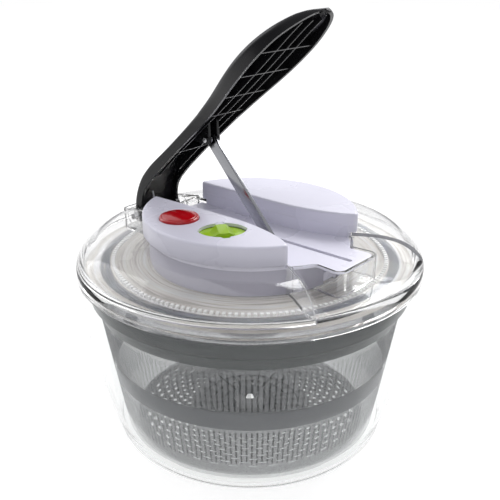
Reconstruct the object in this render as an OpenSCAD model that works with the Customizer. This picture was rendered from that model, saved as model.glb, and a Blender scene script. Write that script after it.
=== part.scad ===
// Lever-driven salad spinner. Millimetres, +Z up, origin at the centre of the bowl's base.
// The lever's channel runs along X: hinge at -X, nose at +X. The two buttons are on the -Y half.

/* [Overall] */
// outer diameter of the lid's rim
lid_d = 260; // [250:1:320]
// height of the bowl's rim, where the lid rests
bowl_h = 136; // [125:1:165]
// outer diameter of the white cover on the lid
cover_d = 160; // [158:1:166]
// width of the lever along its narrow arm
lever_w = 41; // [32:1:42]

/* [Bowl and basket] */
// wall of the bowl
bowl_wall = 2.4; // [1.8:0.1:3]
// wall of the basket
basket_wall = 1.8; // [1.4:0.1:2.2]
// slits round the basket's side, in each of the two tiers
slits = 60; // [24:6:72]
// slots in each ring of the basket's floor
floor_slots = 36; // [24:1:40]
// rings of slots in the basket's floor
floor_rings = 9; // [5:1:9]

/* [Mechanism] */
// how far the lever swings down from its raised rest
lever_swing = 41.5; // [36:0.5:42]
// distance between the link's two pins, and from the hinge to the upper pin
link_len = 94.3; // [90:0.1:95]
// width of the link's flat bar
link_w = 9; // [7:0.5:9.5]
// thickness of the link's flat bar
link_t = 3; // [2:0.2:3.2]
// teeth on the pinion that the rack turns
pinion_teeth = 18; // [16:1:20]
// diameter of the lever's hinge pin
hinge_pin_d = 5; // [4:0.5:5.5]
// diameter of the drive shaft
shaft_d = 8; // [6:0.5:9]
// diameter of the stop button
button_d = 28.8; // [24:0.4:30]
// travel of the stop button
button_travel = 2.1; // [1:0.1:2.1]
// travel of the lock slider
lock_travel = 7; // [5:0.5:7]

/* [Fits] */
// radial clearance of a shaft that turns in its bearing
run_gap = 0.08; // [0.05:0.01:0.1]
// clearance beside parts that slide past each other
slide_gap = 0.3; // [0.2:0.05:0.5]
// wall of the clear lid
lid_wall = 2.6; // [2:0.1:3]
// wall of the white cover
cover_wall = 2.2; // [1.6:0.1:2.4]

/* [Hidden] */
$fn = 64;

// heights, all carried from the bowl's rim
lid_r = lid_d / 2;
z_rim = bowl_h;
z_skirt = z_rim - 2;
z_disc = z_rim - 4.4;
plate_t = 2.4;
z_plate = z_rim + 2.2;
z_deck = z_plate + plate_t;
z_sun = z_deck + 1;
gear_h = 5;
z_rack = z_sun + gear_h + 0.8;
rack_h = 5.6;
z_pivot = z_rim + 18;
z_floor = z_rim + 24;
z_dome = z_rim + 27.2;
z_cover = z_rim + 42;

// lever and link: an isosceles pair, so the link's foot runs on a level line through the hinge
hinge_x = -101.5;
rest_angle = 6.8 + lever_swing;
foot_x = hinge_x + 2 * link_len * cos(rest_angle);
foot_end_x = hinge_x + 2 * link_len * cos(6.8);
top_pin = [link_len * cos(6.8), link_len * sin(6.8)];
link_pin_d = 4;

// gears, module 1
pinion_r = pinion_teeth / 2;
wheel_teeth = 22;
sun_teeth = 11;
gear_c = (wheel_teeth + sun_teeth) / 2;
rack_pitch_y = gear_c - pinion_r;
// rack travel for each radian of lever
rack_per_rad = 76.5;
rack_travel = rack_per_rad * lever_swing * PI / 180;
// where the link's foot runs furthest ahead of the rack
lag_angle = asin(rack_per_rad / (2 * link_len));
rack_lag = 2 * link_len * (cos(lag_angle) - cos(rest_angle)) - rack_per_rad * (rest_angle - lag_angle) * PI / 180;
pocket = rack_lag + link_pin_d + 0.3;

// bowl and basket profiles
bowl_top_r = lid_r - 2.4;
bowl_corner = 13;
basket_top = z_rim - 7;
basket_rim_r = lid_r - 8;
hub_top = 13;
pivot_r = 6;

// cover
cover_r = cover_d / 2;
button_pos = [-23.6, -50.4];
lock_pos = [16.5, -48];
lock_angle = 51;
bolt_len = 26.2;
bolt_w = 6;
bolt_t = 1.9;
z_bolt = z_cover - cover_wall - 2.6 - bolt_t;
channel = [[-cover_r - 3, 25.6], [-60, 24.6], [-30, 24], [0, 23.7], [20, 24.4], [35, 26.8],
    [48, 30.2], [58, 34], [66, 38.6], [78, 46], [cover_r + 8, 52]];
nose = [[60, 36.5], [67, 34], [71.5, 28.5], [77, 19.6], [93.4, 21.2], [97.2, 17.4]];
sector = 30;

function bowl_r(z) = bowl_top_r * (1 - 0.207 * pow(1 - z / z_rim, 2.2));
// the basket draws in towards its floor in proportion to the bowl's width, as the bowl does
basket_taper = bowl_top_r / 127.6;
function basket_r(z) = basket_rim_r + basket_taper * (16.2 * (z - 8) / (basket_top - 29) - 22.6);
function both_sides(path) = concat(
    [for (p = path) [p[0], -p[1]]],
    [for (i = [len(path) - 1 : -1 : 0]) path[i]]
);
function arc_corner(r, c, z0, a0 = 0) = [for (a = [a0 : 15 : 90]) [r - c + c * sin(a), z0 + c - c * cos(a)]];
// one flank point of an involute tooth: rb is the base radius, t the roll angle
function flank(rb, t) = [rb * sqrt(1 + pow(t * PI / 180, 2)), t - atan(t * PI / 180)];

bowl();
basket();
lid_shell();
lid_plate();
plate_screws();
lid_cover();
lever();
hinge_pin();
lever_spring();
link();
link_top_pin();
link_foot_pin();
rack();
rack_rails();
pinion_gear();
gear_post();
sun_gear();
drive_shaft();
shaft_bush();
shaft_clip();
drive_disc();
clutch_cup();
clutch_rollers();
stop_button();
brake_stem();
brake_pad();
button_spring();
lock_slider();
lock_bolt();

// ---- shared shapes ----

module tube(ro, ri, h) {
    difference() {
        cylinder(r = ro, h = h);
        translate([0, 0, -1]) cylinder(r = ri, h = h + 2);
    }
}

// a wedge of the full circle, from -half to +half degrees, pointing along +X
module wedge(half, r, z0, z1) {
    translate([0, 0, z0]) linear_extrude(z1 - z0)
        polygon([[0, 0], [r, -r * tan(half)], [r, r * tan(half)]]);
}

// a plate in the XZ plane, centred on Y
module side_plate(points, w) {
    rotate([90, 0, 0]) linear_extrude(w, center = true) polygon(points);
}

module pin_y(d, len) {
    rotate([90, 0, 0]) cylinder(d = d, h = len, center = true);
}

module gear_2d(n, backlash) {
    rp = n / 2;
    rb = rp * cos(20);
    ra = rp + 0.72;
    rr = rp - 1.1;
    half = 90 / n - backlash / 2 / rp * 180 / PI + tan(20) * 180 / PI - 20;
    t0 = rb > rr ? 0 : sqrt(pow(rr / rb, 2) - 1) * 180 / PI;
    t1 = sqrt(pow(ra / rb, 2) - 1) * 180 / PI;
    side = [for (i = [0 : 4]) flank(rb, t0 + (t1 - t0) * i / 4)];
    right = concat([[rr, 0]], side);
    tooth = concat(
        [for (s = right) [s[0] * cos(s[1] - half), s[0] * sin(s[1] - half)]],
        [for (i = [len(right) - 1 : -1 : 0]) [right[i][0] * cos(half - right[i][1]),
            right[i][0] * sin(half - right[i][1])]]
    );
    polygon([for (k = [0 : n - 1]) for (p = tooth)
        [p[0] * cos(k * 360 / n) - p[1] * sin(k * 360 / n), p[0] * sin(k * 360 / n) + p[1] * cos(k * 360 / n)]]);
}

// a leaf: two arcs that meet in a tip at each end
module leaf(len, wid) {
    r = (len * len / 4 + wid * wid / 4) / wid;
    intersection() {
        translate([0, r - wid / 2]) circle(r = r);
        translate([0, wid / 2 - r]) circle(r = r);
    }
}

// ---- bowl and basket ----

module bowl() {
    inner = bowl_corner - bowl_wall;
    color([0.92, 0.95, 0.95, 0.3]) {
        difference() {
            rotate_extrude() polygon(concat(
                [[0, 1.2], [bowl_r(bowl_corner) - bowl_corner - 8, 1.2], [bowl_r(bowl_corner) - bowl_corner - 6, 0]],
                arc_corner(bowl_r(bowl_corner), bowl_corner, 0),
                [for (z = [20 : 10 : z_rim - 8]) [bowl_r(z), z]],
                [[bowl_r(z_rim), z_rim], [bowl_r(z_rim) - bowl_wall, z_rim]],
                [for (z = [floor((z_rim - 8) / 10) * 10 : -10 : 20]) [bowl_r(z) - bowl_wall, z]],
                [for (a = [90 : -15 : 0]) [bowl_r(bowl_corner) - bowl_wall - inner + inner * sin(a),
                    1.2 + bowl_wall + inner - inner * cos(a)]],
                [[0, 1.2 + bowl_wall]]
            ));
        }
        translate([0, 0, 1.2 + bowl_wall / 2]) cylinder(r = pivot_r, h = hub_top - 1.2 - bowl_wall / 2);
    }
}

module basket() {
    t = basket_wall;
    zb = 7.2;
    c = 9;
    r0 = basket_r(zb + c);
    tiers = [[24, 54], [72, 104]];
    color([0.42, 0.43, 0.44, 0.8]) difference() {
        union() {
            rotate_extrude() polygon(concat(
                [[0, zb]],
                arc_corner(r0, c, zb),
                [[basket_r(108), 108], [basket_rim_r - 1.4, 118.5], [basket_rim_r - 0.8, 118.8],
                    [basket_rim_r, basket_top], [basket_rim_r - t, basket_top],
                    [basket_rim_r - 0.8 - t, 119.6], [basket_rim_r - 1.4 - t, 118.9], [basket_r(108) - t, 108.6]],
                [for (a = [90 : -15 : 0]) [r0 - t - (c - t) + (c - t) * sin(a), zb + c - (c - t) * cos(a)]],
                [[0, zb + t]]
            ));
            translate([0, 0, zb]) cylinder(r = 14, h = 9);
            for (k = [0 : 7]) rotate(k * 45) translate([12, -0.9, zb + t / 2]) cube([34, 1.8, 2.6 + t / 2]);
            for (k = [0 : 11]) rotate(k * 30 + 8)
                translate([basket_rim_r - 4.2, -1, 119.5]) cube([3.2, 2, basket_top - 120]);
        }
        translate([0, 0, zb - 1]) cylinder(r = pivot_r + run_gap, h = hub_top - zb + 1);
        translate([0, 0, zb - 1]) linear_extrude(t + 2) floor_holes();
        for (k = [0 : slits - 1]) rotate(k * 360 / slits) for (z = tiers)
            translate([basket_r(z[0]) - t - 6, -1.1, z[0]]) cube([24, 2.2, z[1] - z[0]]);
    }
}

module floor_holes() {
    r_in = 50;
    pitch = 33.2 / (floor_rings - 1);
    for (i = [0 : floor_rings - 1]) for (k = [0 : floor_slots - 1])
        rotate((k + (i % 2) / 2) * 360 / floor_slots)
            translate([r_in + i * pitch, 0])
                square([2, (r_in + i * pitch) * 2 * PI / floor_slots * 0.56], center = true);
}

// ---- lid ----

module lid_shell() {
    w = lid_wall;
    rise = z_dome - z_rim;
    out = [[lid_r, z_skirt], [lid_r, z_rim + 7.4], [lid_r - 1.2, z_rim + 11.6], [lid_r - 3.8, z_rim + 15.4],
        [lid_r - 9, z_rim + rise - 6.4], [lid_r - 17, z_rim + rise - 2.4], [lid_r - 29, z_rim + rise - 0.5],
        [lid_r - 45, z_dome]];
    inside = [[lid_r - 45, z_dome - w], [lid_r - 29.4, z_dome - w - 0.5], [lid_r - 18.2, z_dome - w - 2.4],
        [lid_r - 11, z_dome - w - 6], [lid_r - 6.4, z_rim + 14], [lid_r - 4.6, z_rim + 10], [lid_r - 7.8, z_rim + 6.4],
        [lid_r - 7.8, z_rim - 6], [lid_r - 5.4, z_rim - 6], [lid_r - 5.4, z_rim], [lid_r - 2, z_rim],
        [lid_r - 2, z_skirt]];
    color([0.93, 0.95, 0.95, 0.3]) difference() {
        union() {
            // the dome, with the scoop at the nose taken out of it
            difference() {
                rotate_extrude() polygon(concat([[cover_r - 4, z_dome]], [for (i = [len(out) - 1 : -1 : 0]) out[i]],
                    [for (i = [len(inside) - 1 : -1 : 0]) inside[i]], [[cover_r - 4, z_dome - w]]));
                wedge(sector, lid_r + 20, z_rim + 10, z_dome + 5);
                translate([-lid_r + 14, -27, z_rim - 1]) cube([lid_r - 14 - cover_r + 8, 54, 60]);
            }
            // walls and floor of the scoop
            intersection() {
                rotate_extrude() polygon(concat([[cover_r - 4, z_deck - 1], [cover_r - 4, z_dome]],
                    [for (i = [len(out) - 1 : -1 : 1]) out[i]], [[lid_r - 6, z_deck - 1]]));
                union() {
                    for (s = [-1, 1]) rotate(s * (sector + 0.8)) translate([cover_r - 5, -w / 2, z_deck + 0.4])
                        cube([lid_r - cover_r, w, 40]);
                    intersection() {
                        wedge(sector + 1, lid_r + 20, z_deck - 1, z_dome + 5);
                        union() {
                            translate([0, 0, z_deck]) tube(lid_r - 6.6, cover_r - 4, w);
                            translate([0, 0, z_deck]) tube(cover_r - 4 + w, cover_r - 4, z_floor + 0.6 - z_deck);
                        }
                    }
                    // the pocket that the lever's foot drops into
                    hinge_box();
                }
            }
            nose_box();
            hinge_bosses();
        }
        // the lever's slot through the pocket, and the inside of the nose
        translate([-lid_r + 16.4, -24.4, z_deck + w]) cube([lid_r - 16.4 - cover_r + 1, 48.8, 60]);
        translate([cover_r, -6.4, z_rack - 0.5]) cube([foot_end_x + 12.5 - cover_r, 12.8,
            z_floor - cover_wall - z_rack + 0.5]);
        translate([0, 0, z_deck - 1]) linear_extrude(z_floor - cover_wall - z_deck + 1) nose_2d(-1.5);
        translate([0, 0, z_floor - cover_wall]) linear_extrude(10) nose_2d(slide_gap);
        translate([hinge_x, 0, z_pivot]) pin_y(hinge_pin_d, 80);
    }
}

module hinge_box() {
    translate([-lid_r + 14, -27, z_deck]) cube([lid_r - 14 - cover_r + 8, 54, z_dome + 2 - z_deck]);
}

module hinge_bosses() {
    for (s = [-1, 1]) translate([hinge_x, s * 26.2, z_pivot]) pin_y(13, 3.6);
}

module nose_2d(grow) {
    polygon(both_sides([for (p = nose) [p[0] + (p[0] > 90 ? grow : 0), p[1] + grow]]));
}

// clear walls that stand round the cover's nose
module nose_box() {
    difference() {
        translate([0, 0, z_deck]) linear_extrude(z_floor + 0.6 - z_deck) nose_2d(lid_wall);
        translate([0, 0, z_deck - 1]) cylinder(r = cover_r - 4.2, h = 60);
    }
}

module lid_plate() {
    color([0.9, 0.92, 0.92, 0.45]) difference() {
        union() {
            translate([0, 0, z_plate]) cylinder(r = lid_r - 7.9, h = plate_t);
            translate([button_pos[0], button_pos[1], z_deck - 0.5]) cylinder(r = 8, h = 6);
        }
        translate([0, 0, z_plate - 1]) cylinder(d = shaft_d + 4, h = plate_t + 2);
        translate([0, gear_c, z_plate - 1]) cylinder(r = 2, h = plate_t + 2);
        translate([button_pos[0], button_pos[1], z_plate - 1]) cylinder(r = 4 + run_gap, h = 20);
        for (p = screw_spots()) translate([p[0], p[1], z_plate - 1]) cylinder(r = 1.5, h = plate_t + 2);
    }
}

function screw_spots() = [[-50, 40], [-50, -40], [50, 46], [46, -50]];

// four screws, up through the plate into the cover's posts
module plate_screws() {
    color([0.7, 0.7, 0.72]) for (p = screw_spots()) translate([p[0], p[1], 0]) {
        translate([0, 0, z_plate - 2]) difference() {
            cylinder(r = 3, h = 2);
            translate([-2.2, -0.4, -1]) cube([4.4, 0.8, 2]);
            translate([-0.4, -2.2, -1]) cube([0.8, 4.4, 2]);
        }
        translate([0, 0, z_plate - 0.1]) cylinder(r = 1.5, h = 12);
    }
}

module lid_cover() {
    w = cover_wall;
    color([0.9, 0.89, 0.95]) difference() {
        union() {
            // the two raised halves, hollow underneath, with the ring that drops into the lid
            difference() {
                rotate_extrude() polygon([[0, z_cover - w], [cover_r - w, z_cover - w], [cover_r - w, z_dome + 1.6],
                    [cover_r - 4.3 - w, z_dome + 1.6], [cover_r - 4.3 - w, z_floor - w + 0.2],
                    [cover_r - 4.3, z_floor - w + 0.2], [cover_r - 4.3, z_dome], [cover_r, z_dome],
                    [cover_r, z_cover - 2], [cover_r - 0.7, z_cover - 0.6], [cover_r - 2.2, z_cover],
                    [0, z_cover]]);
                channel_block(0, z_floor - w - 1, z_cover + 5);
            }
            // drum that closes the gear space in
            translate([0, 0, z_deck + 0.2]) tube(cover_r - 4.5, cover_r - 4.5 - w, z_floor - z_deck - 0.3);
            // walls down both sides of the channel
            translate([0, 0, z_floor - w]) linear_extrude(z_cover - z_floor + w - 0.4) intersection() {
                circle(r = cover_r - 4.4);
                difference() {
                    channel_2d(w);
                    channel_2d(0);
                }
            }
            // the channel's floor and its nose
            translate([0, 0, z_floor - w]) linear_extrude(w) union() {
                intersection() {
                    circle(r = cover_r - 4.4);
                    channel_2d(w / 2);
                }
                polygon(both_sides(nose));
            }
            // guide round the button, and posts for the screws
            translate([button_pos[0], button_pos[1], z_cover - 9]) cylinder(r = button_d / 2 + 2, h = 8);
            for (p = screw_spots()) translate([p[0], p[1], z_deck]) cylinder(r = 4, h = z_cover - z_deck - 1);
        }
        translate([button_pos[0], button_pos[1], z_cover - 12]) cylinder(d = button_d + 2 * slide_gap, h = 20);
        for (p = screw_spots()) translate([p[0], p[1], z_deck - 1]) cylinder(r = 1.5, h = 11);
        // the rack's way out of the drum, under the nose
        translate([60, -7, z_deck - 1]) cube([30, 14, z_floor - w - z_deck + 1]);
        // slot for the link, and the link's way in above it
        translate([-8, -link_t / 2 - 0.5, z_floor - w - 1]) cube([foot_end_x + 6.2 + 8, link_t + 1, w + 2]);
        // the lock's leaf-shaped window, its two finger notches, and the bolt's way through the wall
        translate([lock_pos[0], lock_pos[1], z_cover - w - 1]) rotate(lock_angle) linear_extrude(w + 2) {
            leaf(35, 28);
            for (s = [-1, 1]) polygon([[-3.4, s * 12], [3.4, s * 12], [0.6, s * 18.5]]);
        }
        translate([26, -32, z_bolt - 0.6]) cube([20, 10, bolt_t + 0.8]);
    }
}

// the channel between the halves, grown sideways by g
module channel_2d(g) {
    polygon(both_sides([for (p = channel) [p[0], p[1] + g]]));
}

module channel_block(g, z0, z1) {
    translate([0, 0, z0]) linear_extrude(z1 - z0) channel_2d(g);
}

// ---- lever and link ----

lever_outer = [[233.5, 19.4], [231, 21.8], [222.3, 24], [205.4, 26.6], [181.5, 28], [152.5, 27.2], [121.9, 25.6],
    [93, 24.4], [62.8, 24.2], [45, 24.6], [35.5, 24.3], [24, 22.8], [14.2, 19.4], [5, 14], [-2, 7.6], [-5.6, 3.2]];
lever_inner = [[5.9, -2.6], [6.4, 2.2], [15.5, 10.8], [23, 13.2], [36, 14.6], [64, 15.5], [100, 15.4], [130, 15.2],
    [165, 15.6], [191, 16.4], [210, 17.2], [226, 17], [232.2, 17.4]];
lever_plan = [[-8, 0], [100, 0], [115, 0.6], [130, 2.3], [143, 4.8], [155, 7.5], [168, 9.8], [180, 11], [192, 11],
    [203, 9.3], [213, 6], [221, 1.5], [227, -3.5], [231, -9], [233.6, -15]];

module lever_plan_2d(grow) {
    polygon(both_sides([for (p = lever_plan) [p[0] + (p[0] > 200 ? grow : 0), lever_w / 2 + p[1] + grow]]));
}

// the lever and what it carries, drawn folded down about the hinge and then raised
module raised() {
    translate([hinge_x, 0, z_pivot]) rotate([0, -lever_swing, 0]) children();
}

module lever() {
    t = 2.6;
    cavity = concat([[229, 12], [229, 18.4], [221, 21], [205, 23.8]],
        [for (i = [4 : 12]) [lever_outer[i][0] + (i > 9 ? 1.4 : 0), lever_outer[i][1] - t]],
        [[6.6, 11.6], [0.2, 6.5], [-9, 3.6], [-9, -9], [12, -9], [18, 4], [30, 8]]);
    color([0.1, 0.1, 0.11]) raised() difference() {
        union() {
            difference() {
                intersection() {
                    union() {
                        side_plate(concat(lever_outer, lever_inner), 90);
                        pin_y(13, 90);
                    }
                    translate([0, 0, -20]) linear_extrude(60) lever_plan_2d(0);
                }
                intersection() {
                    side_plate(cavity, 90);
                    translate([0, 0, -20]) linear_extrude(60) lever_plan_2d(-t);
                }
            }
            lever_ribs();
        }
        pin_y(hinge_pin_d + 2 * run_gap, 80);
        translate([top_pin[0], 0, top_pin[1]]) pin_y(link_pin_d, 14.4);
        // notch beside the link's upper pin
        translate([94, 14, 8]) cube([8.5, 12, 13.5]);
        // pocket that the lock's bolt enters when the lever is down
        translate([lock_pos[0] - hinge_x, lock_pos[1], z_bolt - z_pivot - 0.4]) rotate(lock_angle)
            translate([0, -bolt_w / 2 - 0.4, 0]) cube([bolt_len + lock_travel + 0.4, bolt_w + 0.8, bolt_t + 0.8]);
    }
}

module lever_ribs() {
    skin = concat([[228, 17.4], [228, 21], [205, 24]],
        [for (i = [4 : 9]) [lever_outer[i][0], lever_outer[i][1] - 0.8]], [[36, 21], [36, 17.4]]);
    intersection() {
        side_plate(skin, 90);
        translate([0, 0, -20]) linear_extrude(60) lever_plan_2d(-1);
        union() {
            for (y = [-10.5, 10.5]) translate([36, y - 0.7, 0]) cube([186, 1.4, 40]);
            translate([109, -0.7, 0]) cube([113, 1.4, 40]);
            for (u = [69.5, 120, 144, 168.5, 193.7]) translate([u - 0.7, -40, 0]) cube([1.4, 80, 40]);
        }
    }
    // cheeks that hold the link's upper pin
    for (s = [-1, 1]) translate([0, s * 4.6, 0]) intersection() {
        union() {
            side_plate([[top_pin[0] - 14, 22.6], [top_pin[0] - 4, top_pin[1]], [top_pin[0] + 4, top_pin[1]],
                [top_pin[0] + 14, 22.6]], 2.4);
            translate([top_pin[0], 0, top_pin[1]]) pin_y(8, 2.4);
        }
        translate([0, -5, 0]) cube([200, 10, 24]);
    }
}

module hinge_pin() {
    color([0.75, 0.75, 0.77]) translate([hinge_x, 0, z_pivot]) pin_y(hinge_pin_d, 56);
}

module lever_spring() {
    color([0.6, 0.6, 0.62]) translate([hinge_x, 0, z_pivot]) {
        rotate([90, 0, 0]) for (k = [-4 : 4]) translate([0, 0, k * 1.3])
            rotate_extrude() translate([5, 0]) circle(d = 1.4);
        translate([5, 5.2, -10.6]) cylinder(d = 1.4, h = 10.6);
        rotate([0, -lever_swing, 0]) translate([5, -5.2, 0]) rotate([0, 26, 0]) cylinder(d = 1.4, h = 15);
    }
}

module link() {
    dx = foot_x - (hinge_x + link_len * cos(rest_angle));
    color([0.78, 0.79, 0.8]) translate([foot_x, 0, z_pivot]) rotate([0, rest_angle, 0]) difference() {
        union() {
            translate([-link_len, -link_t / 2, -link_w / 2]) cube([link_len, link_t, link_w]);
            translate([-link_len, 0, 0]) pin_y(link_w, link_t);
            pin_y(link_w - 0.4, link_t);
        }
        translate([-link_len, 0, 0]) pin_y(link_pin_d + 2 * run_gap, 20);
        pin_y(link_pin_d, 20);
    }
}

module link_top_pin() {
    color([0.7, 0.7, 0.72]) raised() translate([top_pin[0], 0, top_pin[1]]) pin_y(link_pin_d, 14);
}

module link_foot_pin() {
    color([0.7, 0.7, 0.72]) translate([foot_x, 0, z_pivot]) pin_y(link_pin_d, 10);
}

// ---- rack and gears ----

rack_back = -rack_travel - 7;
pocket_x0 = foot_x - link_pin_d / 2 - 0.15;

module rack() {
    tooth = [[-1.1 / 2 - 0.62, -1.1], [-0.52, 0.72], [0.52, 0.72], [1.1 / 2 + 0.62, -1.1]];
    first = ceil(rack_back / PI) + 1;
    color([0.93, 0.93, 0.9]) difference() {
        union() {
            translate([rack_back, -5.2, z_rack])
                cube([pocket_x0 - 3 - rack_back, 5.2 + rack_pitch_y - 1, rack_h]);
            for (k = [first : 2]) translate([(k + 0.5) * PI, rack_pitch_y, z_rack])
                linear_extrude(rack_h) polygon(tooth);
            translate([pocket_x0 - 3.2, -5.2, z_rack]) cube([pocket + 5, 10.4, z_pivot + 3.4 - z_rack]);
        }
        // groove for the link, open at the top, and the pocket its foot pin has free play in
        translate([pocket_x0 - 42, -link_t / 2 - 0.6, z_rack + 1.4]) cube([pocket + 46.6, link_t + 1.2, 20]);
        translate([pocket_x0, -6, z_pivot - link_pin_d / 2 - 0.15]) cube([pocket, 12, link_pin_d + 0.3]);
    }
}

// two guides that the rack slides between
module rack_rails() {
    gap = slide_gap / 2;
    color([0.88, 0.88, 0.9]) for (x = [[-72, -15], [15, 72]]) difference() {
        translate([x[0], -8.6, z_deck]) cube([x[1] - x[0], 20.6, z_rack + 4 - z_deck]);
        translate([x[0] - 1, -5.2 - gap, z_rack - 0.1]) cube([x[1] - x[0] + 2, 5.2 + rack_pitch_y + 0.9 + 2 * gap, 20]);
    }
}

module pinion_gear() {
    color([0.93, 0.93, 0.9]) translate([0, gear_c, 0]) difference() {
        union() {
            translate([0, 0, z_sun]) rotate(270) linear_extrude(gear_h) gear_2d(wheel_teeth, 0.12);
            translate([0, 0, z_sun + gear_h - 0.1]) rotate(270)
                linear_extrude(rack_h + 0.9) gear_2d(pinion_teeth, 0.12);
        }
        translate([0, 0, z_sun - 1]) cylinder(r = 2 + run_gap, h = 30);
    }
}

module gear_post() {
    color([0.7, 0.7, 0.72]) translate([0, gear_c, z_plate]) {
        cylinder(r = 2, h = z_rack + rack_h + 0.3 - z_plate);
        translate([0, 0, z_rack + rack_h + 0.2 - z_plate]) cylinder(r = 3.2, h = 0.8);
    }
}

module sun_gear() {
    color([0.93, 0.93, 0.9]) translate([0, 0, z_sun]) rotate(90 + 180 / sun_teeth) difference() {
        linear_extrude(gear_h) gear_2d(sun_teeth, 0.12);
        translate([0, 0, -1]) cylinder(r = 2.5, h = gear_h + 2);
    }
}

module drive_shaft() {
    color([0.7, 0.7, 0.72]) difference() {
        union() {
            translate([0, 0, z_sun - 0.2]) cylinder(r = 2.5, h = gear_h);
            translate([0, 0, z_disc - 5]) cylinder(d = shaft_d, h = z_sun - z_disc + 5);
        }
        translate([0, 0, z_disc - 4]) tube(shaft_d, shaft_d / 2 - 0.7, 0.9);
    }
}

module shaft_bush() {
    color([0.78, 0.62, 0.3]) translate([0, 0, z_plate - 0.3])
        tube(shaft_d / 2 + 2, shaft_d / 2 + run_gap, plate_t + 0.6);
}

module shaft_clip() {
    color([0.55, 0.55, 0.57]) translate([0, 0, z_disc - 4]) difference() {
        tube(shaft_d / 2 + 2.6, shaft_d / 2 - 0.7, 0.9);
        translate([0, -shaft_d / 2 + 1.2, -1]) cube([shaft_d, shaft_d - 2.4, 3]);
    }
}

// ---- drive to the basket ----

cup_r = shaft_d / 2 + 4;

module drive_disc() {
    rd = basket_rim_r - 5;
    color([0.9, 0.92, 0.93, 0.5]) difference() {
        union() {
            translate([0, 0, z_disc]) cylinder(r = rd, h = 1.8);
            translate([0, 0, z_disc - 5]) tube(rd, rd - 1.8, 5.4);
            translate([0, 0, z_disc - 2.6]) cylinder(r = cup_r + 5, h = 8.4);
            translate([0, 0, z_disc + 1]) tube(103.6, 101.8, 4.4);
            for (k = [0 : 5]) rotate(k * 60 + 15)
                translate([rd - 1, -5, z_disc - 5]) cube([2.3, 10, 3.8]);
            for (k = [0 : 7]) rotate(k * 45 + 22.5) translate([cup_r + 3, -0.8, z_disc + 1]) cube([80, 1.6, 2]);
        }
        translate([0, 0, z_disc - 10]) cylinder(r = cup_r, h = 30);
        translate([0, 0, z_disc + 1.8]) tube(70, 42, 4);
    }
}

module clutch_cup() {
    color([0.72, 0.72, 0.74]) translate([0, 0, z_disc - 2.6])
        tube(cup_r, shaft_d / 2 + 2.1, 8.4);
}

module clutch_rollers() {
    color([0.8, 0.8, 0.82]) for (k = [0 : 7]) rotate(k * 45)
        translate([shaft_d / 2 + 1.1, 0, z_disc - 1.6]) cylinder(r = 0.98, h = 6.4);
}

// ---- stop button and brake ----

module stop_button() {
    r = button_d / 2;
    color([0.8, 0.05, 0.08]) translate([button_pos[0], button_pos[1], 0]) difference() {
        rotate_extrude() polygon([[0, z_cover - 5.4], [r - 2, z_cover - 5.4], [r - 2, z_cover - 7.4], [r, z_cover - 7.4],
            [r, z_cover + 0.6], [r - 0.5, z_cover + 1.5], [r - 2, z_cover + 2.3], [r * 0.6, z_cover + 3.1],
            [r * 0.3, z_cover + 3.5], [0, z_cover + 3.6]]);
        translate([0, 0, z_cover - 8]) cylinder(r = 3, h = 6);
    }
}

module brake_stem() {
    color([0.85, 0.85, 0.86]) translate([button_pos[0], button_pos[1], 0]) {
        translate([0, 0, z_plate - 0.2]) cylinder(r = 4, h = z_cover - 5.4 - z_plate + 0.2);
        translate([0, 0, z_cover - 5.5]) cylinder(r = 3, h = 3);
    }
}

module brake_pad() {
    color([0.15, 0.15, 0.15]) translate([button_pos[0], button_pos[1], z_disc + 1.9 + button_travel])
        cylinder(r = 8, h = z_plate - 0.2 - (z_disc + 1.9 + button_travel));
}

// a coil of round wire: each level cut of the wire is a short arc
module coil(r, wire, turns, h) {
    pitch = h / turns;
    reach = 180 * wire / pitch;
    arc = [for (i = [-3 : 3]) i / 3];
    linear_extrude(h, twist = -360 * turns, slices = turns * 14, $fn = 14) polygon(concat(
        [for (u = arc) (r + wire / 2 * sqrt(1 - u * u * 0.98)) * [cos(u * reach), sin(u * reach)]],
        [for (i = [6 : -1 : 0]) (r - wire / 2 * sqrt(1 - arc[i] * arc[i] * 0.98))
            * [cos(arc[i] * reach), sin(arc[i] * reach)]]
    ));
}

module button_spring() {
    z0 = z_deck + 5.6;
    color([0.65, 0.65, 0.67]) translate([button_pos[0], button_pos[1], z0])
        coil(5.8, 1, 7, z_cover - 5.5 - z0);
}

// ---- lock ----

module lock_slider() {
    color([0.5, 0.75, 0.1]) translate([lock_pos[0], lock_pos[1], z_cover - cover_wall]) rotate(lock_angle) {
        translate([0, 0, -2.6]) linear_extrude(2.4) difference() {
            intersection() {
                translate([-lock_travel / 2, 0]) leaf(42, 31.5);
                translate([-17.6 - lock_travel, -20]) square([35.2 + lock_travel, 40]);
            }
            // its end stays clear of the channel's wall when it has slid
            translate([-lock_travel, 0]) rotate(-lock_angle) translate([-lock_pos[0], -lock_pos[1]])
                channel_2d(cover_wall + slide_gap);
        }
        intersection() {
            translate([0, 0, -0.5]) linear_extrude(8) leaf(18, 19.5);
            rotate([90, 0, 0]) linear_extrude(40, center = true)
                polygon([[-10, -0.5], [-6.4, 1.2], [-3.4, 4], [3.4, 4], [6.4, 1.2], [10, -0.5]]);
        }
    }
}

module lock_bolt() {
    color([0.7, 0.7, 0.72]) translate([lock_pos[0], lock_pos[1], z_bolt]) rotate(lock_angle)
        translate([0, -bolt_w / 2, 0]) cube([bolt_len, bolt_w, bolt_t]);
}
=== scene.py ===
# %% [markdown]
# A lever-driven salad spinner: a clear bowl, a smoke-grey basket, a clear lid with a white cover, and a
# black lever with a polished link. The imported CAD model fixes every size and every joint. This lesson
# dresses it: the pieces that show are modelled again with rounded edges and fine detail, and each hidden
# piece keeps its CAD shape and gets a finish of its own.

# %% Load the frame
import math
import bmesh
import bpy
from mathutils import Matrix, Vector


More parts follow.
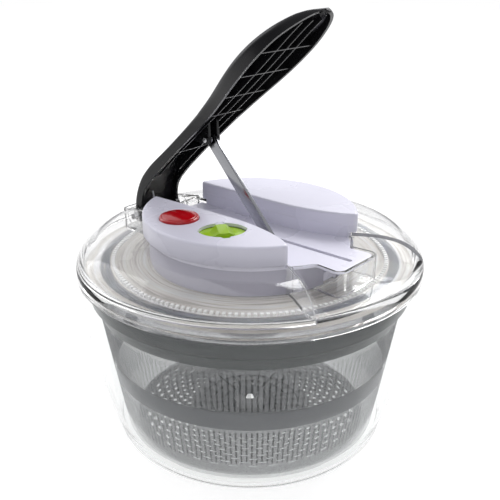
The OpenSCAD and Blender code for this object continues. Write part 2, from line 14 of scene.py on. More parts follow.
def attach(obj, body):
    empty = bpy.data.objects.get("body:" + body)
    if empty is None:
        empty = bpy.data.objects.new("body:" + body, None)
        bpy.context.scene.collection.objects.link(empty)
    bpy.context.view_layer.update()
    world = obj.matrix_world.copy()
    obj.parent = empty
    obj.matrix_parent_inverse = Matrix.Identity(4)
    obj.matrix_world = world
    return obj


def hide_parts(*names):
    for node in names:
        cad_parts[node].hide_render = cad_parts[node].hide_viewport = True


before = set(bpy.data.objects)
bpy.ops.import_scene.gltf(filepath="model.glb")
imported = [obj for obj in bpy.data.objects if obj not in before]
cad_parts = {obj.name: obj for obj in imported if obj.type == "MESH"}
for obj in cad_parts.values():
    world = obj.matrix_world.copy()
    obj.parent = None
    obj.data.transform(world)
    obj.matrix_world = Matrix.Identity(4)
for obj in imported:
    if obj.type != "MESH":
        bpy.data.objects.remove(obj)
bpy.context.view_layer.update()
MM = 0.001


# %% [markdown]
# The camera comes first, so that each piece can be judged as soon as it exists. A normal lens a little
# over half a metre away looks down on the lid at 22 degrees, from the side where both buttons are.

# %% Camera
eye = bpy.data.objects.new("camera", bpy.data.cameras.new("camera"))
bpy.context.scene.collection.objects.link(eye)
eye.data.sensor_width = 36
eye.data.lens = 54.7
eye.location = (0.3509, -0.4065, 0.361)
eye.rotation_euler = (math.radians(68), 0, math.radians(40.8))
bpy.context.scene.camera = eye


# %% [markdown]
# Clear plastic is hard to light: it only shows what is around it. The sky is bright above and behind the
# spinner, which keeps the walls clean, and turns grey low down in front, which gives the edges their thin
# grey lines. The camera, and what it sees through the plastic, gets plain white instead. The sky could be
# a picture, but a gradient made of nodes does the same and stays soft. The floor gives off most of its
# light itself, so that it stays pale under the basket.

# %% Sky, floor and lamps
sky = bpy.data.worlds.new("studio")
bpy.context.scene.world = sky
sky.use_nodes = True
n, l = sky.node_tree.nodes, sky.node_tree.links
n.clear()
where = n.new("ShaderNodeTexCoord")
toward = n.new("ShaderNodeVectorMath")
toward.operation = "DOT_PRODUCT"
BRIGHT_WAY = (-0.405, 0.469, 0.785)
toward.inputs[1].default_value = BRIGHT_WAY
ramp = n.new("ShaderNodeValToRGB")
ramp.color_ramp.interpolation = "EASE"
ramp.color_ramp.elements[0].position = 0.30
ramp.color_ramp.elements[0].color = (0.24, 0.24, 0.26, 1)
ramp.color_ramp.elements[1].position = 0.85
ramp.color_ramp.elements[1].color = (1.0, 1.0, 1.04, 1)
to_unit = n.new("ShaderNodeMapRange")
to_unit.inputs["From Min"].default_value = -1
soft = n.new("ShaderNodeBackground")
SKY_STRENGTH = 0.74
soft.inputs["Strength"].default_value = SKY_STRENGTH
plain = n.new("ShaderNodeBackground")
plain.inputs["Color"].default_value = (1, 1, 1, 1)
ray = n.new("ShaderNodeLightPath")
either = n.new("ShaderNodeMath")
either.operation = "MAXIMUM"
mix = n.new("ShaderNodeMixShader")
out = n.new("ShaderNodeOutputWorld")
l.new(where.outputs["Generated"], toward.inputs[0])
l.new(toward.outputs["Value"], to_unit.inputs["Value"])
l.new(to_unit.outputs["Result"], ramp.inputs["Fac"])
l.new(ramp.outputs["Color"], soft.inputs["Color"])
l.new(ray.outputs["Is Camera Ray"], either.inputs[0])
l.new(ray.outputs["Is Transmission Ray"], either.inputs[1])
l.new(either.outputs["Value"], mix.inputs["Fac"])
l.new(soft.outputs["Background"], mix.inputs[1])
l.new(plain.outputs["Background"], mix.inputs[2])
l.new(mix.outputs["Shader"], out.inputs["Surface"])


def lamp(name, place, size, power, aim=(0, 0, 0.15)):
    """A square soft box at place, turned to face aim."""
    light = bpy.data.lights.new(name, "AREA")
    light.shape = "RECTANGLE"
    light.size, light.size_y = size
    light.energy = power
    ob = bpy.data.objects.new(name, light)
    ob.location = place
    ob.rotation_euler = (Vector(aim) - Vector(place)).to_track_quat("-Z", "Y").to_euler()
    bpy.context.scene.collection.objects.link(ob)


lamp("key", (-0.1, 0.95, 1.0), (0.9, 0.7), 13)
lamp("side", (-1.0, -0.25, 0.75), (0.7, 0.9), 3)
lamp("front", (0.75, -0.9, 0.8), (0.8, 0.5), 1.5)

bm = bmesh.new()
bmesh.ops.create_grid(bm, x_segments=1, y_segments=1, size=4)
ground = bpy.data.objects.new("floor", bpy.data.meshes.new("floor"))
bm.to_mesh(ground.data)
bm.free()
bpy.context.scene.collection.objects.link(ground)
paper = bpy.data.materials.new("paper")
paper.use_nodes = True
matt = paper.node_tree.nodes["Principled BSDF"].inputs
matt["Base Color"].default_value = (0.25, 0.25, 0.25, 1)
matt["Roughness"].default_value = 0.9
matt["Emission Color"].default_value = (1, 1, 1, 1)
matt["Emission Strength"].default_value = 0.85
ground.data.materials.append(paper)
ground.location.z = -0.0004
bpy.context.scene.view_settings.view_transform = "Standard"
# light crosses many clear walls before it reaches the basket
bounces = bpy.context.scene.cycles
bounces.transmission_bounces, bounces.max_bounces, bounces.transparent_max_bounces = 20, 24, 32


# %% [markdown]
# No moulded plastic is perfectly even. One node group gives every finish its own breakup: a fine ripple
# like orange peel, and slow patches where hands have dulled the gloss. It is built once and placed in
# each material with that material's values, which keeps all the finishes in one family.

# %% The breakup group
def breakup_group():
    g = bpy.data.node_groups.new("moulded_breakup", "ShaderNodeTree")
    for name, kind, value in (("Patch scale", "NodeSocketFloat", 30.0),
                              ("Grain scale", "NodeSocketFloat", 900.0),
                              ("Rough low", "NodeSocketFloat", 0.2), ("Rough high", "NodeSocketFloat", 0.3),
                              ("Stretch", "NodeSocketVector", (1.0, 1.0, 1.0))):
        g.interface.new_socket(name=name, in_out="INPUT", socket_type=kind).default_value = value
    for name in ("Roughness", "Height", "Patches"):
        g.interface.new_socket(name=name, in_out="OUTPUT", socket_type="NodeSocketFloat")
    n, l = g.nodes, g.links
    into, outof = n.new("NodeGroupInput"), n.new("NodeGroupOutput")
    place = n.new("ShaderNodeTexCoord")
    stretch = n.new("ShaderNodeVectorMath")
    stretch.operation = "MULTIPLY"
    l.new(place.outputs["Object"], stretch.inputs[0])
    l.new(into.outputs["Stretch"], stretch.inputs[1])
    patches, grain = n.new("ShaderNodeTexNoise"), n.new("ShaderNodeTexNoise")
    patches.inputs["Detail"].default_value = 4
    grain.inputs["Detail"].default_value = 2
    for tex, name in ((patches, "Patch scale"), (grain, "Grain scale")):
        l.new(stretch.outputs["Vector"], tex.inputs["Vector"])
        l.new(into.outputs[name], tex.inputs["Scale"])
    spread = n.new("ShaderNodeMapRange")
    spread.inputs["From Min"].default_value = 0.35
    spread.inputs["From Max"].default_value = 0.68
    l.new(patches.outputs["Fac"], spread.inputs["Value"])
    l.new(into.outputs["Rough low"], spread.inputs["To Min"])
    l.new(into.outputs["Rough high"], spread.inputs["To Max"])
    l.new(spread.outputs["Result"], outof.inputs["Roughness"])
    l.new(grain.outputs["Fac"], outof.inputs["Height"])
    l.new(patches.outputs["Fac"], outof.inputs["Patches"])
    return g


BREAKUP = breakup_group()


# %% [markdown]
# A finish is one Principled shader fed by the breakup group. Two close colours are mixed by the slow
# patches, so a large face is never one flat tone. Colour, roughness and bump come from nodes; everything
# that is the same all over sits on the shader's own sockets.

# %% A finish from a few values
GRAIN_DEPTH = 0.0005


def finish(name, dark, light, rough=(0.2, 0.3), patch=30.0, grain=900.0, bump=0.02, stretch=(1, 1, 1),
           metallic=0.0, coat=0.0, ior=1.49, alpha=1.0, subsurface=0.0):
    mat = bpy.data.materials.new(name)
    mat.use_nodes = True
    n, l = mat.node_tree.nodes, mat.node_tree.links
    shader = n["Principled BSDF"]
    shader.inputs["Metallic"].default_value = metallic
    shader.inputs["Coat Weight"].default_value = coat
    shader.inputs["Coat Roughness"].default_value = 0.06
    shader.inputs["IOR"].default_value = ior
    shader.inputs["Alpha"].default_value = alpha
    shader.inputs["Subsurface Weight"].default_value = subsurface
    shader.inputs["Subsurface Scale"].default_value = 0.004
    wear = n.new("ShaderNodeGroup")
    wear.node_tree = BREAKUP
    wear.inputs["Patch scale"].default_value = patch
    wear.inputs["Grain scale"].default_value = grain
    wear.inputs["Rough low"].default_value, wear.inputs["Rough high"].default_value = rough
    wear.inputs["Stretch"].default_value = stretch
    tint = n.new("ShaderNodeMix")
    tint.data_type = "RGBA"
    tint.inputs["A"].default_value = (*dark, 1)
    tint.inputs["B"].default_value = (*light, 1)
    relief = n.new("ShaderNodeBump")
    relief.inputs["Strength"].default_value = bump
    relief.inputs["Distance"].default_value = GRAIN_DEPTH
    l.new(wear.outputs["Patches"], tint.inputs["Factor"])
    l.new(tint.outputs["Result"], shader.inputs["Base Color"])
    l.new(wear.outputs["Roughness"], shader.inputs["Roughness"])
    l.new(wear.outputs["Height"], relief.inputs["Height"])
    l.new(relief.outputs["Normal"], shader.inputs["Normal"])
    return mat


# %% [markdown]
# The bowl, the lid and its rim are true glass to the renderer: two surfaces, and a bend between them. Each
# has an index of refraction below that of real plastic (about 1.5), the bowl's and the rim's lowest of all,
# because the full bend turns a thin curved wall nearly black at its edge. Lamps would leave hard dark
# shadows behind such walls, so the rays that carry lamp light pass through a Transparent shader instead.
# The breakup group only dulls the gloss here and there, as fingers do. Other clear or smoky finishes use a
# plain Alpha, which shows what lies behind without bending it.

# %% Clear plastic
def clear(name, tint, ior=1.45, rough=(0.0, 0.04), patch=22.0, bump=0.0):
    mat = finish(name, tint, tint, rough=rough, patch=patch, bump=bump, ior=ior)
    n, l = mat.node_tree.nodes, mat.node_tree.links
    shader = n["Principled BSDF"]
    for link in list(shader.inputs["Base Color"].links):
        l.remove(link)
    shader.inputs["Base Color"].default_value = (*tint, 1)
    shader.inputs["Transmission Weight"].default_value = 1.0
    through, ray = n.new("ShaderNodeBsdfTransparent"), n.new("ShaderNodeLightPath")
    mix = n.new("ShaderNodeMixShader")
    through.inputs["Color"].default_value = (0.96, 0.97, 0.97, 1)
    l.new(ray.outputs["Is Shadow Ray"], mix.inputs["Fac"])
    l.new(shader.outputs["BSDF"], mix.inputs[1])
    l.new(through.outputs["BSDF"], mix.inputs[2])
    l.new(mix.outputs["Shader"], n["Material Output"].inputs["Surface"])
    return mat


BOWL_CLEAR = clear("bowl_clear", (0.945, 0.952, 0.95), ior=1.13)
LID_CLEAR = clear("lid_clear", (0.985, 0.985, 0.985), ior=1.32)
RIM_CLEAR = clear("rim_clear", (0.87, 0.868, 0.868), ior=1.17)
SMOKE = finish("basket_smoke", (0.17, 0.172, 0.176), (0.21, 0.212, 0.218), rough=(0.25, 0.42), patch=16,
               bump=0.03, alpha=0.27)
SMOKE_LOW = finish("basket_smoke_low", (0.40, 0.405, 0.41), (0.46, 0.465, 0.47), rough=(0.25, 0.42),
                   patch=16, bump=0.03, alpha=0.32)
SMOKE_MID = finish("basket_smoke_mid", (0.12, 0.123, 0.130), (0.15, 0.153, 0.160), rough=(0.3, 0.45),
                   patch=16, bump=0.03, alpha=0.8)
SMOKE_BAND = finish("basket_smoke_band", (0.060, 0.064, 0.065), (0.078, 0.082, 0.083), rough=(0.3, 0.45),
                    patch=16, bump=0.03, alpha=0.88)
SMOKE_FLOOR = finish("basket_smoke_floor", (0.075, 0.077, 0.081), (0.095, 0.097, 0.102), rough=(0.3, 0.45),
                     patch=16, bump=0.03, alpha=0.68)
COVER = finish("cover_white", (0.70, 0.69, 0.79), (0.74, 0.73, 0.83), rough=(0.22, 0.34), patch=14,
               grain=1400, bump=0.02, coat=0.15)
BLACK = finish("lever_black", (0.004, 0.004, 0.0045), (0.009, 0.009, 0.010), rough=(0.2, 0.36), patch=24,
               grain=1500, bump=0.03, ior=1.36)
RED = finish("button_red", (0.44, 0.002, 0.006), (0.54, 0.003, 0.010), rough=(0.12, 0.25), patch=60,
             bump=0.04, coat=0.4)
GREEN = finish("lock_green", (0.29, 0.50, 0.008), (0.38, 0.60, 0.014), rough=(0.16, 0.3), patch=60,
               bump=0.03, coat=0.3)
LINK = finish("link_polished", (0.24, 0.245, 0.26), (0.34, 0.345, 0.36), rough=(0.08, 0.2), patch=40,
              grain=3000, bump=0.03, stretch=(0.12, 1, 0.12), metallic=1)
STEEL = finish("pin_steel", (0.55, 0.55, 0.57), (0.72, 0.72, 0.74), rough=(0.2, 0.38), patch=120,
               grain=2500, bump=0.05, stretch=(1, 1, 0.2), metallic=1)
WIRE = finish("spring_wire", (0.42, 0.42, 0.45), (0.6, 0.6, 0.62), rough=(0.25, 0.45), patch=200,
              grain=2500, bump=0.05, metallic=1)
GEAR = finish("gear_plastic", (0.74, 0.74, 0.70), (0.82, 0.82, 0.79), rough=(0.35, 0.5), patch=50,
              grain=1200, bump=0.04)
BRASS = finish("bush_brass", (0.62, 0.44, 0.16), (0.78, 0.58, 0.25), rough=(0.2, 0.36), patch=120,
               grain=2500, bump=0.04, metallic=1)
DISC = finish("disc_clear", (0.50, 0.51, 0.55), (0.70, 0.71, 0.75), rough=(0.15, 0.35), patch=20, bump=0.04,
              alpha=0.3)
FROST = finish("frosted_clear", (0.62, 0.63, 0.66), (0.78, 0.79, 0.81), rough=(0.15, 0.35), patch=20,
               bump=0.04, alpha=0.6)
WALL_CLEAR = finish("wall_clear", (0.72, 0.72, 0.76), (0.82, 0.82, 0.85), rough=(0.05, 0.15), patch=30,
                    alpha=0.1)
# grey painted on the clear end faces beside the scoop: painted shade for the thin grey line of a clear edge
EDGE = finish("edge_painted_grey", (0.50, 0.50, 0.53), (0.72, 0.72, 0.74), rough=(0.1, 0.25), patch=40,
              bump=0.03, alpha=0.6)
# the cover's white plastic painted darker: painted shade for the drum, which stands in the cover's shadow
COVER_PAINTED_SHADE = finish("cover_white_painted_shade", (0.36, 0.35, 0.42), (0.44, 0.43, 0.50), rough=(0.25, 0.4), patch=14,
                grain=1400, bump=0.02)
FROST_TEETH = finish("frosted_teeth", (0.80, 0.80, 0.80), (0.9, 0.9, 0.9), rough=(0.1, 0.25), patch=60,
                     bump=0.04, alpha=0.7)
RUBBER = finish("pad_rubber", (0.02, 0.02, 0.02), (0.035, 0.035, 0.035), rough=(0.7, 0.85), patch=80,
                grain=1800, bump=0.15)


# %% [markdown]
# The frosted plate under the dome is turned plastic: its tone runs in fine rings, cream and grey. Further
# out lies a dark band with faint colours in it, where the basket's rim lies close below: a painted
# refraction of that dark rim seen through the plate, and painted iridescence. A noise texture read in ring
# coordinates (distance from the axis, and a little of the angle) draws all of it.

# %% Rings of tone on the plate
RINGS_PER_M = 420
# the dark band between these radii is painted: the basket's dark rim as seen through the plate
PAINTED_RIM_BAND = (0.095, 0.115)       # radii in metres between which the dark band lies


def ring_tones(mat):
    n, l = mat.node_tree.nodes, mat.node_tree.links
    shader = n["Principled BSDF"]
    place, flat = n.new("ShaderNodeTexCoord"), n.new("ShaderNodeVectorMath")
    split = n.new("ShaderNodeSeparateXYZ")
    flat.operation = "MULTIPLY"
    flat.inputs[1].default_value = (1, 1, 0)
    radius, turn = n.new("ShaderNodeVectorMath"), n.new("ShaderNodeMath")
    radius.operation, turn.operation = "LENGTH", "ARCTAN2"
    l.new(place.outputs["Object"], flat.inputs[0])
    l.new(flat.outputs["Vector"], radius.inputs[0])
    l.new(flat.outputs["Vector"], split.inputs["Vector"])
    l.new(split.outputs["Y"], turn.inputs[0])
    l.new(split.outputs["X"], turn.inputs[1])
    ring, far = n.new("ShaderNodeCombineXYZ"), n.new("ShaderNodeMath")
    far.operation = "MULTIPLY"
    far.inputs[1].default_value = RINGS_PER_M
    l.new(radius.outputs["Value"], far.inputs[0])
    l.new(far.outputs["Value"], ring.inputs["X"])
    l.new(turn.outputs["Value"], ring.inputs["Y"])
    streak = n.new("ShaderNodeTexNoise")
    streak.inputs["Scale"].default_value = 1.0
    streak.inputs["Detail"].default_value = 6
    l.new(ring.outputs["Vector"], streak.inputs["Vector"])
    tone = n.new("ShaderNodeValToRGB")
    stops = tone.color_ramp.elements
    stops[0].position, stops[0].color = 0.30, (0.22, 0.20, 0.19, 1)
    stops[1].position, stops[1].color = 0.72, (0.86, 0.85, 0.86, 1)
    cream = ((0.42, (0.46, 0.43, 0.40, 1)), (0.52, (0.68, 0.65, 0.60, 1)), (0.60, (0.62, 0.62, 0.64, 1)))
    for at, colour in cream:
        stops.new(at).color = colour
    l.new(streak.outputs["Fac"], tone.inputs["Fac"])
    # the dark band is painted: a painted refraction of the basket's dark rim, which lies close below the
    # plate
    band = n.new("ShaderNodeValToRGB")
    for stop, at in zip(band.color_ramp.elements, (0.0, 1.0)):
        stop.position, stop.color = at, (0, 0, 0, 1)
    for at, value in ((0.50, 0.0), (0.54, 1.0), (0.84, 1.0), (0.90, 0.0)):
        band.color_ramp.elements.new(at).color = (value, value, value, 1)
    near = n.new("ShaderNodeMapRange")
    near.inputs["From Min"].default_value, near.inputs["From Max"].default_value = PAINTED_RIM_BAND
    l.new(radius.outputs["Value"], near.inputs["Value"])
    l.new(near.outputs["Result"], band.inputs["Fac"])
    # the faint colours in the dark band are painted iridescence
    painted_iridescence = n.new("ShaderNodeValToRGB")
    stops = painted_iridescence.color_ramp.elements
    stops[0].position, stops[0].color = 0.34, (0.03, 0.05, 0.12, 1)
    stops[1].position, stops[1].color = 0.70, (0.30, 0.19, 0.12, 1)
    faint = ((0.46, (0.05, 0.055, 0.07, 1)), (0.55, (0.10, 0.10, 0.105, 1)), (0.62, (0.07, 0.12, 0.13, 1)))
    for at, colour in faint:
        stops.new(at).color = colour
    shimmer = n.new("ShaderNodeTexNoise")
    shimmer.inputs["Scale"].default_value = 3.0
    shimmer.inputs["Detail"].default_value = 5
    l.new(ring.outputs["Vector"], shimmer.inputs["Vector"])
    l.new(shimmer.outputs["Fac"], painted_iridescence.inputs["Fac"])
    both = n.new("ShaderNodeMix")
    both.data_type = "RGBA"
    l.new(band.outputs["Color"], both.inputs["Factor"])
    l.new(tone.outputs["Color"], both.inputs["A"])
    l.new(painted_iridescence.outputs["Color"], both.inputs["B"])
    l.new(both.outputs["Result"], shader.inputs["Base Color"])


ring_tones(FROST)


# %% [markdown]
# Most pieces are turned: one section, spun round the axis. A few points are enough for the section,
# because a smooth curve is drawn through them first. bmesh's spin does the turning, and a part turn gets
# its two ends filled. The helper that finishes a piece marks the sharp edges by angle, so that broad
# curves shade smoothly and edges stay crisp.

# %% Turning, plates and the finished piece
SAME_POINT = 2e-6       # points closer than this, in metres, are merged into one
POLE = 0.01             # a section that reaches the axis stops this far short, in mm, and the merge closes it


def curve_through(points, steps=4):
    """A smooth line through 2D points (Catmull-Rom)."""
    p = [points[0]] + list(points) + [points[-1]]
    line = []

    def between(a, b, c, d, t):
        bend = (2 * a - 5 * b + 4 * c - d) * t * t
        return 0.5 * (2 * b + (c - a) * t + bend + (3 * b - a - 3 * c + d) * t ** 3)

    for four in zip(p, p[1:], p[2:], p[3:]):
        line += [tuple(between(*axis, k / steps) for axis in zip(*four)) for k in range(steps)]
    return line + [tuple(points[-1])]


def turned(bm, section, start=0.0, end=360.0, steps=128, closed=True):
    """Spins a section of (radius, height) points, in mm, from start to end degrees. Returns the new faces."""
    a = math.radians(start)
    before = set(bm.faces)
    ring = [bm.verts.new((r * math.cos(a) * MM, r * math.sin(a) * MM, z * MM)) for r, z in section]
    pairs = list(zip(ring, ring[1:])) + ([(ring[-1], ring[0])] if closed else [])
    edges = [bm.edges.new(pair) for pair in pairs]
    full = abs(end - start) > 359.9
    bmesh.ops.spin(bm, geom=ring + edges, axis=(0, 0, 1), cent=(0, 0, 0), angle=math.radians(end - start),
                   steps=steps, use_merge=full)
    new = [f for f in bm.faces if f not in before]
    if not full and closed:
        rim = [e for f in new for e in f.edges if e.is_boundary]
        bmesh.ops.holes_fill(bm, edges=list(set(rim)), sides=0)
    return [f for f in bm.faces if f not in before]


def upright_edges(corners, numbers):
    """The edges that rise from the numbered corner points."""
    edges = [e for i in numbers for e in corners[i].link_edges]
    return [e for e in edges if abs(e.verts[0].co.z - e.verts[1].co.z) > 0.01 * MM]


def plate(bm, outline, low, high, top=0.0, bottom=0.0, corner=(), corner_round=0.0):
    """A flat plate with an outline in mm between two heights. top and bottom round its two rims, and
    corner_round rounds the upright edges that start at the outline points numbered in corner."""
    before = set(bm.verts)
    base = [bm.verts.new((x * MM, y * MM, low * MM)) for x, y in outline]
    face = bm.faces.new(base)
    lifted = bmesh.ops.extrude_face_region(bm, geom=[face])["geom"]
    bmesh.ops.translate(bm, verts=[v for v in lifted if isinstance(v, bmesh.types.BMVert)],
                        vec=(0, 0, (high - low) * MM))
    if corner:
        upright = upright_edges(base, corner)
        bmesh.ops.bevel(bm, geom=upright, offset=corner_round * MM, segments=5, profile=0.5, affect="EDGES",
                        material=-1)
    for level, size in ((high, top), (low, bottom)):
        if size:
            loop = [e for e in bm.edges if not set(e.verts) & before
                    and all(abs(v.co.z - level * MM) < 1e-7 for v in e.verts)]
            bmesh.ops.bevel(bm, geom=loop, offset=size * MM, segments=4, profile=0.5, affect="EDGES",
                            material=-1)
    return [v for v in bm.verts if v not in before]


def disc(bm, radius, depth, segments, top_radius=None):
    """An upright closed disc or stub in mm, centred on the origin."""
    upper = radius if top_radius is None else top_radius
    return bmesh.ops.create_cone(bm, segments=segments, radius1=radius * MM, radius2=upper * MM,
                                 depth=depth * MM, cap_ends=True)["verts"]


def block(bm, size, centre):
    """A closed block in mm."""
    verts = bmesh.ops.create_cube(bm, size=1)["verts"]
    bmesh.ops.scale(bm, verts=verts, vec=Vector(size) * MM)
    bmesh.ops.translate(bm, verts=verts, vec=Vector(centre) * MM)
    return verts


def stand_up(bm, verts):
    """Turns what lies flat upright: its y becomes height and its height becomes -y."""
    bmesh.ops.rotate(bm, verts=verts, cent=(0, 0, 0), matrix=Matrix.Rotation(math.radians(90), 3, "X"))


def turn_about_axis(bm, verts, degrees):
    bmesh.ops.rotate(bm, verts=verts, cent=(0, 0, 0), matrix=Matrix.Rotation(math.radians(degrees), 3, "Z"))


def mesh_from(bm, name, sharp=38.0):
    bmesh.ops.remove_doubles(bm, verts=bm.verts, dist=SAME_POINT)
    bmesh.ops.recalc_face_normals(bm, faces=bm.faces)
    for f in bm.faces:
        f.smooth = True
    for e in bm.edges:
        e.smooth = len(e.link_faces) == 2 and e.calc_face_angle(0) < math.radians(sharp)
    mesh = bpy.data.meshes.new(name)
    bm.to_mesh(mesh)
    bm.free()
    return mesh


def piece(name, bm, material, body, slot, *stands_for, sharp=38.0):
    """Turns a bmesh into a finished piece on its body. The cover's pieces get weighted normals, which keep
    a flat face flat beside its narrow round."""
    ob = bpy.data.objects.new(name, mesh_from(bm, name, sharp))
    bpy.context.scene.collection.objects.link(ob)
    ob.data.materials.append(material)
    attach(ob, body)
    if stands_for:
        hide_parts(*stands_for)
    if slot == "white_cover":
        even = ob.modifiers.new("even", "WEIGHTED_NORMAL")
        even.keep_sharp = True
    print(f"{name}: {len(ob.data.polygons)} faces")
    return ob


def carve(bm, cutter, operation="DIFFERENCE"):
    """Takes one closed bmesh out of another and returns the result as a new bmesh."""
    pair = []
    for b in (bm, cutter):
        bmesh.ops.recalc_face_normals(b, faces=b.faces)
        mesh = bpy.data.meshes.new("carving")
        b.to_mesh(mesh)
        b.free()
        pair.append(bpy.data.objects.new("carving", mesh))
        bpy.context.scene.collection.objects.link(pair[-1])
    cut = pair[0].modifiers.new("cut", "BOOLEAN")
    cut.object, cut.operation, cut.solver = pair[1], operation, "EXACT"
    result = bmesh.new()
    result.from_object(pair[0], bpy.context.evaluated_depsgraph_get())
    for ob in pair:
        mesh = ob.data
        bpy.data.objects.remove(ob)
        bpy.data.meshes.remove(mesh)
    return result


def keep_side(bm, place, normal):
    """Cuts a closed bmesh by a plane, keeps what lies ahead of normal, and closes the cut."""
    bmesh.ops.bisect_plane(bm, geom=bm.verts[:] + bm.edges[:] + bm.faces[:], plane_co=Vector(place) * MM,
                           plane_no=normal, clear_inner=True)
    bmesh.ops.holes_fill(bm, edges=[e for e in bm.edges if e.is_boundary], sides=0)


def both_sides(path):
    return [(x, -y) for x, y in path] + [(x, y) for x, y in reversed(path)]


# %% [markdown]
# The bowl is a thin-walled shell with a hub in its floor. Its section swells quickly near the base and
# runs almost straight up to the rim. Both faces of the wall are modelled, because light bends at each.

# %% Bowl
RIM = 136.0
LID_R = 130.0
BOWL_R = LID_R - 2.4
BOWL_WALL = 2.4
HEEL = 13               # radius of the round between the floor and the side


def bowl_r(z):
    return BOWL_R * (1 - 0.207 * (1 - z / RIM) ** 2.2)


heel_r = bowl_r(HEEL) - HEEL
heel = [math.radians(a) for a in range(0, 91, 10)]
outside = [(POLE, 1.2), (heel_r - 8, 1.2), (heel_r - 6.6, 0.2), (heel_r - 5, 0.0)]
outside += [(heel_r + HEEL * math.sin(a), HEEL - HEEL * math.cos(a)) for a in heel]
outside += [(bowl_r(z), z) for z in range(18, 134, 5)] + [(bowl_r(134.6), 134.6), (BOWL_R - 0.5, RIM)]
inside = [(BOWL_R - 1.9, RIM), (bowl_r(134.6) - 2.35, 134.6)]
inside += [(bowl_r(z) - BOWL_WALL, z) for z in range(133, 17, -5)]
inner = HEEL - BOWL_WALL
inside += [(heel_r + inner * math.sin(a), HEEL + 1.2 - inner * math.cos(a)) for a in reversed(heel)]
inside += [(40, 3.6), (7.5, 3.6), (6.0, 5.0), (6.0, 12.2), (5.2, 13.0), (POLE, 13.0)]
bm = bmesh.new()
turned(bm, outside + inside, steps=160)
piece("bowl_shell", bm, BOWL_CLEAR, "bowl", "clear_bowl", "bowl", sharp=50)


# %% [markdown]
# The basket is a fine comb: two tiers of narrow slits round the side and rings of slots in the floor.
# Cutting hundreds of holes with booleans would be slow and messy. Here the basket is spun as one skin of
# one-degree columns, the faces where a hole belongs are shrunk with inset and deleted, and solidify then
# gives the skin its wall.

# %% Basket
FOOT_R, FLARE = 99.4, 0.162     # radius near the foot, and its growth for each mm of height


def basket_r(z):
    return FOOT_R + FLARE * (z - 8)


FLOOR = 7.2
TIERS = ((24.0, 54.0), (72.0, 104.0))
SLOT_HALF = 1.35
SLIT_BRIDGE = 0.42              # what each face beside a slit keeps of its own width, on every side
BASKET_WALL = 1.8
TURN_R = 9                      # radius of the round between the floor and the side
rings = [50 + 33.2 * i / 8 for i in range(9)]
skin = [(13.9, FLOOR), (30, FLOOR), (44, FLOOR)]
for r in rings:
    skin += [(r - SLOT_HALF, FLOOR), (r + SLOT_HALF, FLOOR)]
turn_in = basket_r(FLOOR + TURN_R) - TURN_R
for a in range(0, 91, 15):
    turn = math.radians(a)
    skin.append((turn_in + TURN_R * math.sin(turn), FLOOR + TURN_R - TURN_R * math.cos(turn)))
skin += [(basket_r(z), z) for z in (24.0, 54.0, 56.0, 70.0, 72.0, 104.0, 108.0)]
skin += [(118.2, 114.5), (120.6, 118.5), (121.2, 118.8), (121.5, 121.0), (121.9, 128.4), (121.6, 129.0)]
bm = bmesh.new()
turned(bm, skin, steps=360, closed=False)
bmesh.ops.remove_doubles(bm, verts=bm.verts, dist=SAME_POINT)
bmesh.ops.recalc_face_normals(bm, faces=bm.faces)


def column(face):
    c = face.calc_center_median()
    return int(math.degrees(math.atan2(c.y, c.x)) % 360), math.hypot(c.x, c.y) / MM, c.z / MM


slits, slots = [], []
for f in bm.faces:
    deg, r, z = column(f)
    if any(low < z < high for low, high in TIERS) and deg % 2:
        slits.append(f)
    elif abs(z - FLOOR) < 0.01:
        for i, ring in enumerate(rings):
            # half the circle is slot: five degrees open, five closed, and every other ring is turned by five
            if abs(r - ring) < SLOT_HALF and (deg + 5 * (i % 2)) % 10 < 5:
                slots.append(f)
bmesh.ops.inset_individual(bm, faces=slits, thickness=SLIT_BRIDGE * MM)
print(f"{len(slits)} slits round the side, {len(slots) // 5} slots in the floor")
bmesh.ops.delete(bm, geom=slits + slots, context="FACES")
# every face keeps the side it had, so the wall goes inwards from the outer skin
bmesh.ops.solidify(bm, geom=bm.faces[:], thickness=BASKET_WALL * MM)
bm_hub = bmesh.new()
turned(bm_hub, [(6.1, FLOOR), (14, FLOOR), (14, 15.4), (13.2, 16.2), (7.0, 16.2), (6.1, 15.4)], steps=72)
for r in (22.0, 31.0, 40.0):
    ridge = [(r - 0.6, FLOOR + 1.7), (r + 0.6, FLOOR + 1.7), (r + 0.4, FLOOR + 3.0), (r - 0.4, FLOOR + 3.0)]
    turned(bm_hub, ridge, steps=72)
for k in range(24):
    rib = block(bm_hub, (34, 1.3, 2.0), (30, 0, FLOOR + 2.6))
    turn_about_axis(bm_hub, rib, 15 * k)
bmesh.ops.remove_doubles(bm, verts=bm.verts, dist=SAME_POINT)
# the rim's band and the belt between the tiers are thicker and look darker than the slit tiers, so the
# finish changes with height, and on the floor with reach
for f in bm.faces:
    c = f.calc_center_median()
    height, reach = c.z / MM, math.hypot(c.x, c.y) / MM
    if height > 107.5:
        f.material_index = 1
    elif height < 12 and reach < 90:
        f.material_index = 2
    elif height < 55.5:
        f.material_index = 3
    elif height < 70.5:
        f.material_index = 4
basket = piece("basket_shell", bm, SMOKE, "basket", "smoky_basket", "basket")
for tone in (SMOKE_BAND, SMOKE_FLOOR, SMOKE_LOW, SMOKE_MID):
    basket.data.materials.append(tone)
piece("basket_hub", bm_hub, SMOKE_FLOOR, "basket", "smoky_basket")
